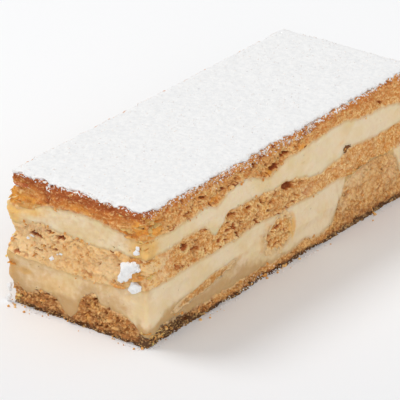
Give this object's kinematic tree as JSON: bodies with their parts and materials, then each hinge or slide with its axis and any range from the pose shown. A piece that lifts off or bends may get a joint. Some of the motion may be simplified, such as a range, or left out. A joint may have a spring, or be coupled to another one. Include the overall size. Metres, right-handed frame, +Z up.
{
  "type": "mille feuille slice",
  "caption": "Slice of layered puff pastry and set vanilla cream with icing sugar on top, cut square from a long bar.",
  "frame": {"origin": "middle of the outline on the surface that the slice rests on", "axes": "+Z up through the layers, +Y along the slice away from the cut face with the sugar clumps, +X across it"},
  "size_m": [0.0463, 0.1224, 0.0382],
  "materials": {
    "base_pastry": "baked crust, crumbly and matt",
    "lower_cream": "set custard cream, soft sheen",
    "middle_pastry": "golden pastry crumb, matt",
    "upper_cream": "set custard cream, soft sheen",
    "top_pastry": "browned flaky crust, matt",
    "icing_sugar": "fine white powder",
    "side_crumb_block": "pastry crumb, matt",
    "side_flake": "thin pastry flake, matt",
    "sugar_clump_large": "clumped white powder",
    "sugar_clump_small": "clumped white powder"
  },
  "bodies": {
    "root": {"base_pastry": "base_pastry", "lower_cream": "lower_cream", "middle_pastry": "middle_pastry", "upper_cream": "upper_cream", "top_pastry": "top_pastry", "icing_sugar": "icing_sugar", "side_crumb_block": "side_crumb_block", "side_flake": "side_flake", "sugar_clump_large": "sugar_clump_large", "sugar_clump_small": "sugar_clump_small"}
  },
  "joints": []
}
